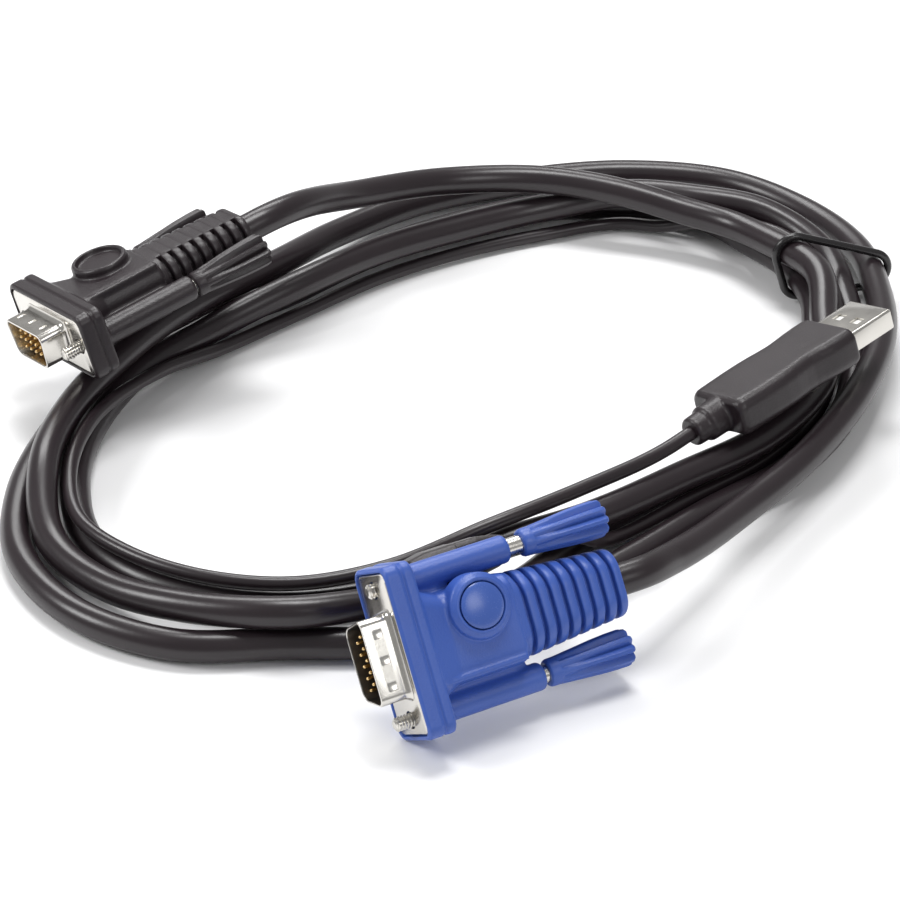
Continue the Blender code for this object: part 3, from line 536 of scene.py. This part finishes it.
def turning(a, b, c):
    """Above zero where the way from a by b to c turns left."""
    return (b[0] - a[0]) * (c[1] - a[1]) - (b[1] - a[1]) * (c[0] - a[0])


def hull(points):
    """The outline stretched round the points."""
    ordered = sorted(points)

    def half(these):
        kept = []
        for p in these:
            while len(kept) > 1 and turning(kept[-2], kept[-1], p) <= 0:
                kept.pop()
            kept.append(p)
        return kept[:-1]

    return half(ordered) + half(ordered[::-1])


def tie_line(cable, cord):
    """The tie's line, drawn tight round the strands that it holds."""
    around = []
    for points, diameter in ((cable, CABLE_DIAMETER), (cord, CORD_DIAMETER)):
        reach = (diameter / 2 + TIE_CLEARANCE + TIE_DIAMETER / 2) * MM
        for lane, height in crossing(points, TIE_STATION):
            for i in range(ROUND_POINTS):
                turn = 2 * math.pi * i / ROUND_POINTS
                around.append((lane + reach * math.cos(turn), height + reach * math.sin(turn)))
    outline = [Vector(p) for p in hull(around)]
    lengths = [(b - a).length for a, b in zip(outline, outline[1:] + outline[:1])]
    origin, out = oval(TIE_STATION)
    points = []
    for i in range(TIE_POINTS):
        run = sum(lengths) * i / TIE_POINTS
        side = 0
        while run > lengths[side]:
            run -= lengths[side]
            side += 1
        p = outline[side].lerp(outline[(side + 1) % len(outline)], run / lengths[side])
        points.append(origin * MM + out * p.x + Vector((0, 0, p.y)))
    return points


def lay_cords(jacket, tie_finish):
    cable_route = [*lead(BLACK, RELIEF_END), *map(laid, CABLE), *reversed(lead(BLUE, RELIEF_END))]
    cord_route = [*lead(USB, USB_NECK_END, direction=-1), *map(laid, CORD),
                  *reversed(lead(BLUE, BOOT_END, *BOOT_AT))]
    cable = smooth_line(cable_route, CABLE_STEPS)
    cord = smooth_line(cord_route, CORD_STEPS)
    tie = tie_line(cable, cord)
    for points in (cable, cord):
        points[0] += (points[0] - points[1]).normalized() * INTO_PLUG * MM
        points[-1] += (points[-1] - points[-2]).normalized() * INTO_PLUG * MM
    main_cable = lay_cord("cable", cable, CABLE_DIAMETER, jacket, "main_cable")
    thin_cord = lay_cord("thin_cord", cord, CORD_DIAMETER, jacket, "usb_cord")
    lay_cord("tie_band", tie, TIE_DIAMETER, tie_finish, "cable_tie", closed=True)


# The 15-pin plugs


def flange():
    """The block round the connector, with the line moulded round it."""
    sections = [(0, 32.2, 14.0), (0.5, 33.2, 15.0), (3.1, 33.2, 15.0), (3.3, 32.4, 14.2), (3.7, 32.4, 14.2),
                (3.9, 33.2, 15.0), (5.5, 33.2, 15.0), (6.0, 32.2, 14.0)]
    return bar("flange", sections, corner=2.0)


def relief(smooth_middle):
    """The tapered strain relief and its fins, crossed on the black plug by a smooth middle."""
    start, end = RELIEF_START, RELIEF_END

    def section(x, depth):
        share = (x - start) / (end - start)
        width = RELIEF_WIDTH - RELIEF_TAPER[0] * share - 2 * depth
        return x, width, RELIEF_HEIGHT - RELIEF_TAPER[1] * share - 2 * depth

    groove = [(-0.20, 0.0), (-0.05, 0.05), (0.05, 0.18), (0.10, 0.35), (0.14, 1.2)]
    groove += [(GROOVE_WIDTH - x, depth) for x, depth in reversed(groove)]
    pitch = (end - FINS_START) / (FINS + FIN_LEAD)
    sections = [section(start, 0)]
    for i in range(FINS):
        at = FINS_START + (i + FIN_LEAD) * pitch
        sections += [section(at + x, depth) for x, depth in groove]
    sections += [section(end - 0.5, 0), section(end - 0.15, 0.15), section(end, 0.5)]
    pieces = [bar("fins", sections, corner=4.5 if smooth_middle else 5.5, segments=14, angle=40)]
    if smooth_middle:
        crown = [(start, 7.8, RELIEF_HEIGHT), (end - 0.5, 6.2, 10.5), (end, 5.6, 9.6)]
        pieces.append(bar("crown", crown, corner=0.3, angle=40))
    return pieces


def hood_forms():
    """The body with its ridge, and the two posts with the webs that tie them to it."""
    body = [(FLANGE_BACK, 22.6, 14.0), (7.6, 19.9, 13.4), (10.2, 17.6, 12.6), (24.4, 17.6, 12.6),
            (25.0, 16.4, 11.4)]
    ridge = [(FLANGE_BACK, 1.2, 2.4), (24.0, 1.2, 2.4)]
    post = [(FLANGE_BACK, 3.2), (6.4, POST_RADIUS), (POST_END - 0.5, POST_RADIUS), (POST_END, 2.3)]
    forms = [bar("body", body, corner=4.2, segments=10), bar("ridge", ridge, corner=0.4, middle=(-7.5, 5.5))]
    for side, web_end in WEB_ENDS.items():
        forms.append(rod("post", post, 40, middle=(side * SCREW_AT, 0)))
        web = [(FLANGE_BACK, 4.4, 3.0), (web_end - 2.5, 4.4, 3.0), (web_end, 4.4, 1.6)]
        forms.append(bar("web", web, corner=0.4, middle=(side * (SCREW_AT - WEB_IN), 0)))
    return forms


def make_hood(prefix, matrix, finish, slot, open_ring):
    """The hood: all its forms in one skin, opened for the connector, the screws and the badge."""
    if open_ring:
        badge = [(BADGE_ROOT, 6.2), (BADGE_TOP - 0.5, 6.2), (BADGE_TOP, 5.8)]
        badge_seat = [(BADGE_TOP - 1.2, 4.9), (BADGE_TOP + 1, 5.3)]
    else:
        badge = [(BADGE_ROOT, 6.3), (BADGE_TOP - 0.9, 6.3), (BADGE_TOP - 0.5, 5.8), (BADGE_TOP - 0.45, 5.5),
                 (BADGE_TOP, 5.35)]
        badge_seat = [(BADGE_TOP - 0.9, 4.55), (BADGE_TOP + 1, 4.75)]
    hood = flange()
    hood = joined(hood, [*hood_forms(), boss("badge", badge)])
    apply_step(hood, "REMESH", mode="VOXEL", voxel_size=SKIN_VOXEL * MM)
    cut(hood, bar("seat", [(-1.0, 31.4, 13.1), (1.1, 31.4, 13.1)], corner=1.6))
    cut(hood, bar("pocket", [(0.5, 17.4, 8.9), (4.5, 17.4, 8.9)], corner=1.9))
    for side in (1, -1):
        bore = [(0.5, POST_BORE), (POST_END + 1, POST_BORE)]
        cut(hood, rod("bore", bore, 32, middle=(side * SCREW_AT, 0)))
    cut(hood, boss("badge_seat", badge_seat))
    moulded(hood, SKIN_VOXEL, 4)
    hood = joined(hood, relief(open_ring))
    hood.name = prefix + "_hood_skin"
    return settle(hood, matrix, finish, slot, "cable", prefix + "_hood")


def d_shape(width, height):
    """The length of the mouth's narrow side, as a share of its wide side."""
    return 1 - 2 * height * math.tan(MOUTH_SLOPE) / width


def make_insulator(prefix, matrix, finish, slot):
    """The block that holds the pins, with a softened face."""
    sections = [(-1.0, 15.2, 6.6), (-0.92, 15.4, 6.8), (-0.75, 15.5, 6.9), (4.2, 15.5, 6.9)]
    block = bar("insulator", sections, corner=1.7, segments=8, narrow=d_shape(15.2, 6.6), angle=40)
    block.name = prefix + "_insulator_block"
    return settle(block, matrix, finish, slot, "cable", prefix + "_insulator")


def facing_in(face):
    """Whether a face of the mouth looks at the pins."""
    middle, normal = face.center / MM, face.normal
    return -5.9 < middle.x < 0.4 and middle.y * normal.y + middle.z * normal.z < -0.1


def make_shell(prefix, matrix, finish, inner_finish):
    """The pressed plate and the D-shaped wall, with a rolled lip and dimples along its wide side."""
    plate = bar("plate", [(0.2, 30.4, 12.1), (0.35, 30.8, 12.5), (0.8, 30.8, 12.5)], corner=1.6, segments=6)
    for side in (1, -1):
        cut(plate, rod("hole", [(-1, 1.75), (2, 1.75)], 32, middle=(side * SCREW_AT, 0)))
    wall = [
        (0.6, 18.4, 9.9), (0.1, 18.3, 9.8), (-0.1, 17.7, 9.2), (-0.45, 17.2, 8.66), (-0.9, 16.94, 8.4),
        (-1.2, MOUTH_WIDTH, MOUTH_HEIGHT), (-5.75, MOUTH_WIDTH, MOUTH_HEIGHT), (-5.95, 16.8, 8.26),
        (-6.0, 16.6, 8.06), (-6.0, 16.2, 7.66), (-5.9, 16.0, 7.46), (-5.7, 15.9, 7.36), (0.3, 15.9, 7.36),
    ]
    mouth = bar("mouth", wall, corner=2.0, segments=8, narrow=d_shape(MOUTH_WIDTH, MOUTH_HEIGHT))
    dimple = [(-4.1, 1.4, 0.9), (-3.95, 1.8, 0.9), (-2.35, 1.8, 0.9), (-2.2, 1.4, 0.9)]
    for i in (-1, 0, 1):
        where = (DIMPLE_PITCH * i, MOUTH_HEIGHT / 2 + 0.25)
        cut(mouth, bar("dimple", dimple, corner=0.12, segments=2, middle=where))
    shell = joined(mouth, [plate])
    only(shell)
    bpy.ops.object.shade_smooth_by_angle(angle=math.radians(32))
    shell.name = prefix + "_shell_skin"
    # Faces inside the mouth take the inner finish. On the blue plug that is darker nickel, painted shade for
    # the little light that reaches in.
    inside = [face.index for face in shell.data.polygons if facing_in(face)]
    settle(shell, matrix, finish, "nickel", "cable", prefix + "_connector_shell")
    shell.data.materials.append(inner_finish)
    for index in inside:
        shell.data.polygons[index].material_index = 1
    return shell


def make_pins(prefix, matrix, finish):
    """The fifteen pins in their three rows, each with a rounded tip."""
    pin = [(-5.2, 0.12), (-5.12, 0.24), (-4.95, 0.34), (-4.75, 0.38), (2.4, 0.38)]
    pins = []
    for row, shift in enumerate(ROW_SHIFTS):
        for column in range(PIN_COLUMNS):
            where = ((2 - column + shift - ROWS_OFF_CENTRE) * PIN_PITCH, (1 - row) * ROW_PITCH)
            pins.append(rod("pin", pin, 14, middle=where, angle=50))
    nodes = [f"{prefix}_pin_{i:02d}" for i in range(1, len(pins) + 1)]
    rows = joined(pins[0], pins[1:])
    rows.name = prefix + "_pin_rows"
    return settle(rows, matrix, finish, "gilt_brass", "cable", *nodes)


def make_screw(name, matrix, across, pull, finish):
    """The threaded tip and the shank, which shows between the post and the knob when it is drawn back."""
    tip = pull + POST_END + SEAT - SCREW_LENGTH
    profile = [(tip, 0.8), (tip + 0.25, 1.2)]
    for turn in range(THREAD_TURNS):
        at = tip + 0.3 + THREAD_PITCH * turn
        profile += [(at, THREAD_ROOT), (at + 0.22, THREAD_CREST)]
        profile += [(at + 0.34, THREAD_CREST), (at + 0.56, THREAD_ROOT)]
    profile += [(tip + 6.3, THREAD_ROOT), (tip + 7.5, THREAD_CREST), (tip + 8.0, SHANK_RADIUS)]
    profile.append((tip + SCREW_LENGTH + SHANK_IN_KNOB, SHANK_RADIUS))
    screw = rod(name + "_steel", profile, 32, middle=(across, 0), angle=28)
    return settle(screw, matrix, finish, "nickel", name + "_thumbscrew", name + "_screw")


def make_knob(name, matrix, across, pull, finish, slot):
    """The fluted knob, flaring to its end."""
    start = pull + POST_END + SEAT
    stops = [(0, 2.2), (0.25, 2.55), (0.6, 2.7), (1.9, 2.75), (2.2, 2.75), (2.6, 2.8), (4.5, 2.95),
             (7.5, 3.2), (11.0, 3.5), (14.5, 3.68), (17.0, 3.7), (17.6, 3.6), (18.0, 3.2)]
    depths = (((0,), 0.12), ((1, FLUTE_COLUMNS - 1), 0.09), ((2, FLUTE_COLUMNS - 2), 0.03))
    reaches = ((2.4, 1.0), (5.5, 1.0), (9.0, 0.7))  # each one deepens the flutes beyond it
    profile = [(start + x, radius) for x, radius in stops]
    knob = rod(name + "_grip", profile, FLUTES * FLUTE_COLUMNS, middle=(across, 0))
    only(knob)
    bpy.ops.object.mode_set(mode="EDIT")

    def column(p):
        turn = math.atan2(p.z, p.y - across) / (2 * math.pi) * FLUTES * FLUTE_COLUMNS
        return round(turn) % FLUTE_COLUMNS

    for wanted, depth in depths:
        for beyond, times in reaches:
            pick(knob, lambda p: p.x > start + beyond and column(p) in wanted)
            scale_about(across, 0, 1 - depth * times, 1 - depth * times)
    finish_mesh(knob, 30)
    return settle(knob, matrix, finish, slot, name + "_thumbscrew", name + "_knob")


def make_lens(finish):
    """The domed window in the blue plug's badge."""
    dome = [(-0.6, 4.35), (-0.05, 4.35), (0.1, 4.2), (0.28, 3.6), (0.45, 2.8), (0.58, 1.9), (0.67, 1.0),
            (0.7, 0.3)]
    profile = [(BADGE_TOP + rise, radius) for rise, radius in dome]
    lens = boss("badge_window", profile, 64, angle=35)
    return settle(lens, BLUE, finish, "blue_plastic", "cable", "blue_badge_lens")


def make_boot(finish):
    """The black sleeve that lies along the post, and the boot that leads the thin cord out of it."""
    sleeve = [(10.9, 5.4, 5.8), (11.3, 6.6, 7.0), (15.0, 8.0, 8.6), (20.9, 8.0, 8.6), (21.3, 7.4, 8.0)]
    tail = [(20.0, 7.2, 5.2), (21.3, 7.6, 5.6), (26.5, 7.5, 5.5), (30.0, 6.4, 5.1), (32.6, 4.8, 4.6),
            (BOOT_END, 4.2, 4.0)]
    boot = bar("thin_cord_boot", sleeve, corner=1.6, segments=6, middle=SLEEVE_AT)
    boot = joined(boot, [bar("tail", tail, corner=1.5, segments=6, middle=BOOT_AT)])
    moulded(boot, BOOT_VOXEL, 4)
    return settle(boot, BLUE, finish, "black_plastic", "cable", "usb_cord_boot")


# The USB plug


def make_usb_grip(finish):
    """The grip, waisted towards its back, with its round neck."""
    widths = [(0.0, 14.6), (0.6, 16.0), (1.2, 16.2), (4, 16.2), (7, 15.8), (10, 15.0), (12.5, 14.6),
              (15, 15.0), (18, 15.8), (21, 16.2), (25, 16.2), (29, 15.9), (32.6, 15.5), (33.6, 14.7),
              (34, 13.5)]
    sections = []
    for x, width in widths:
        rounding = GRIP_WIDTH - width if x < 1 or x > 33 else 0
        sections.append((GRIP_START - x, width, GRIP_HEIGHT - rounding * 0.55))
    grip = bar("usb_grip_skin", sections, corner=2.1, segments=8)
    neck = [(-45.5, 3.85), (-50.0, 3.85), (-50.45, 3.5), (-50.6, 3.2), (-53.6, 3.1), (USB_NECK_END, 2.7)]
    grip = joined(grip, [rod("neck", neck, 48)])
    apply_step(grip, "REMESH", mode="VOXEL", voxel_size=SKIN_VOXEL * MM)
    cut(grip, bar("usb_seat", [(-16.3, 12.5, 5.0), (-11.0, 12.5, 5.0)], corner=0.6))
    moulded(grip, SKIN_VOXEL, 7)
    return settle(grip, USB, finish, "black_plastic", "cable", "usb_grip")


def make_usb_shell(finish):
    """The thin metal shell, open at its front, with a pair of windows on each broad side."""
    outside = [(-16.0, 12.0, 4.5), (-0.15, 12.0, 4.5), (0.0, 11.8, 4.3)]
    hollow = [(-17.0, 11.3, 3.8), (-0.2, 11.3, 3.8), (1.0, 12.0, 4.4)]
    window = [(-7.75, 2.3, 9.0), (-5.45, 2.3, 9.0)]
    shell = bar("usb_shell_skin", outside, corner=0.55, segments=5)
    cut(shell, bar("hollow", hollow, corner=0.35, segments=4))
    for side in (1, -1):
        cut(shell, bar("window", window, corner=0.15, segments=2, middle=(side * WINDOW_AT, 0)))
    only(shell)
    bpy.ops.object.shade_smooth_by_angle(angle=math.radians(35))
    return settle(shell, USB, finish, "nickel", "cable", "usb_shell")


def make_usb_carrier(finish):
    """The white block that shows through the shell's two windows."""
    block = [(-11.5, 10.8, 0.8), (-4.6, 10.8, 0.8)]
    carrier = bar("usb_carrier", block, corner=0.2, segments=2, middle=(0, 1.35), angle=40)
    return settle(carrier, USB, finish, "white_insulator", "cable")


# The studio


def softbox(name, where, target, size, power):
    """A soft lamp that faces its target."""
    data = bpy.data.lights.new(name, "AREA")
    data.shape = "RECTANGLE"
    data.size, data.size_y = size
    data.energy = power
    lamp = bpy.data.objects.new(name, data)
    bpy.context.scene.collection.objects.link(lamp)
    lamp.location = where
    lamp.rotation_euler = (Vector(target) - Vector(where)).to_track_quat("-Z", "Y").to_euler()


def studio():
    """The camera, the floor, the world and the lamps."""
    scene = bpy.context.scene
    scene.view_settings.view_transform = "Standard"
    data = bpy.data.cameras.new("camera")
    data.lens = CAMERA_LENS
    data.sensor_width = 36
    data.clip_start = 0.01
    data.clip_end = 20
    camera = bpy.data.objects.new("camera", data)
    scene.collection.objects.link(camera)
    camera.location = CAMERA_AT
    camera.rotation_euler = (CAMERA_TILT, 0, 0)
    scene.camera = camera
    bpy.ops.mesh.primitive_plane_add(size=FLOOR_SIZE, location=(0, 0, -FLOOR_DROP))
    floor = bpy.context.object
    floor.name = "studio_floor"
    paper = Finish("floor_paper")
    paper.set(Base_Color=(0.93, 0.93, 0.935, 1), Roughness=0.7, Specular_IOR_Level=0.2)
    floor.data.materials.append(paper.material)
    world = bpy.data.worlds.new("studio")
    world.use_nodes = True
    background = world.node_tree.nodes["Background"]
    background.inputs["Color"].default_value = (1, 1, 1, 1)
    background.inputs["Strength"].default_value = WORLD_LIGHT
    scene.world = world
    softbox("back", (-0.15, 0.85, 0.75), (0, 0.03, 0), (0.6, 0.28), 5.0)
    softbox("top", (0.05, 0.2, 0.9), (0, 0.03, 0), (0.42, 0.22), 5.0)
    softbox("left", (-0.8, -0.1, 0.65), (0, 0.02, 0.01), (0.32, 0.32), 4.8)
    softbox("front_right", (0.6, -0.7, 0.7), (0, 0, 0.01), (0.4, 0.4), 2.2)


def main():
    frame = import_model()
    bpy.ops.object.select_all(action="DESELECT")
    studio()
    blue = moulded_plastic("blue_moulding", (0.034, 0.086, 0.37), (0.047, 0.113, 0.44), 0.38, 0.055)
    black = moulded_plastic("black_moulding", (0.012, 0.008, 0.010), (0.021, 0.014, 0.017), 0.37, 0.06)
    lens = moulded_plastic("badge_window", (0.045, 0.10, 0.38), (0.055, 0.12, 0.43), 0.26, 0.006)
    jacket = cable_jacket("cable_jacket", (0.012, 0.008, 0.010), (0.021, 0.014, 0.017), 0.31)
    band = cable_jacket("tie_sleeve", (0.010, 0.009, 0.010), (0.015, 0.013, 0.014), 0.26)
    nickel = plated_metal("nickel_plate", (0.58, 0.56, 0.52), (0.70, 0.68, 0.64), 0.22)
    # Darker nickel for the inside of the blue plug's mouth: painted shade, where little light gets in.
    shade = plated_metal("painted_mouth_shade", (0.10, 0.09, 0.08), (0.14, 0.13, 0.12), 0.42)
    gilt = plated_metal("gilt_pins", (0.66, 0.45, 0.20), (0.80, 0.58, 0.28), 0.24)
    dark = moulded_plastic("dark_insulator", (0.014, 0.012, 0.012), (0.022, 0.019, 0.019), 0.5, 0.02)
    amber = moulded_plastic("amber_insulator", (0.16, 0.070, 0.028), (0.22, 0.095, 0.038), 0.48, 0.02)
    white = moulded_plastic("white_insulator", (0.72, 0.71, 0.68), (0.78, 0.77, 0.74), 0.5, 0.01)
    # Inside the mouth, the blue plug gets the painted shade and the black plug plain nickel.
    inner_finishes = {"blue": shade, "black": nickel}
    inserts = {"blue": (dark, "dark_insulator"), "black": (amber, "amber_insulator")}
    plugs = (
        ("blue", BLUE, BLUE_PULL, blue, "blue_plastic"),
        ("black", BLACK, BLACK_PULL, black, "black_plastic"),
    )
    lay_cords(jacket, band)
    for prefix, matrix, pulls, finish, slot in plugs:
        make_hood(prefix, matrix, finish, slot, prefix == "black")
        make_shell(prefix, matrix, nickel, inner_finishes[prefix])
        make_insulator(prefix, matrix, *inserts[prefix])
        make_pins(prefix, matrix, gilt)
        for end, side, pull in (("upper", 1, pulls[0]), ("lower", -1, pulls[1])):
            make_screw(f"{prefix}_{end}", matrix, side * SCREW_AT, pull, nickel)
            make_knob(f"{prefix}_{end}", matrix, side * SCREW_AT, pull, finish, slot)
    make_lens(lens)
    make_boot(black)
    make_usb_grip(black)
    make_usb_shell(nickel)
    make_usb_carrier(white)
    kept_nodes = {"usb_tongue": white, **{f"usb_contact_{i}": gilt for i in range(1, 5)}}
    for node, finish in kept_nodes.items():
        for holder in frame["nodes"][node].material_slots:
            holder.material = finish


main()
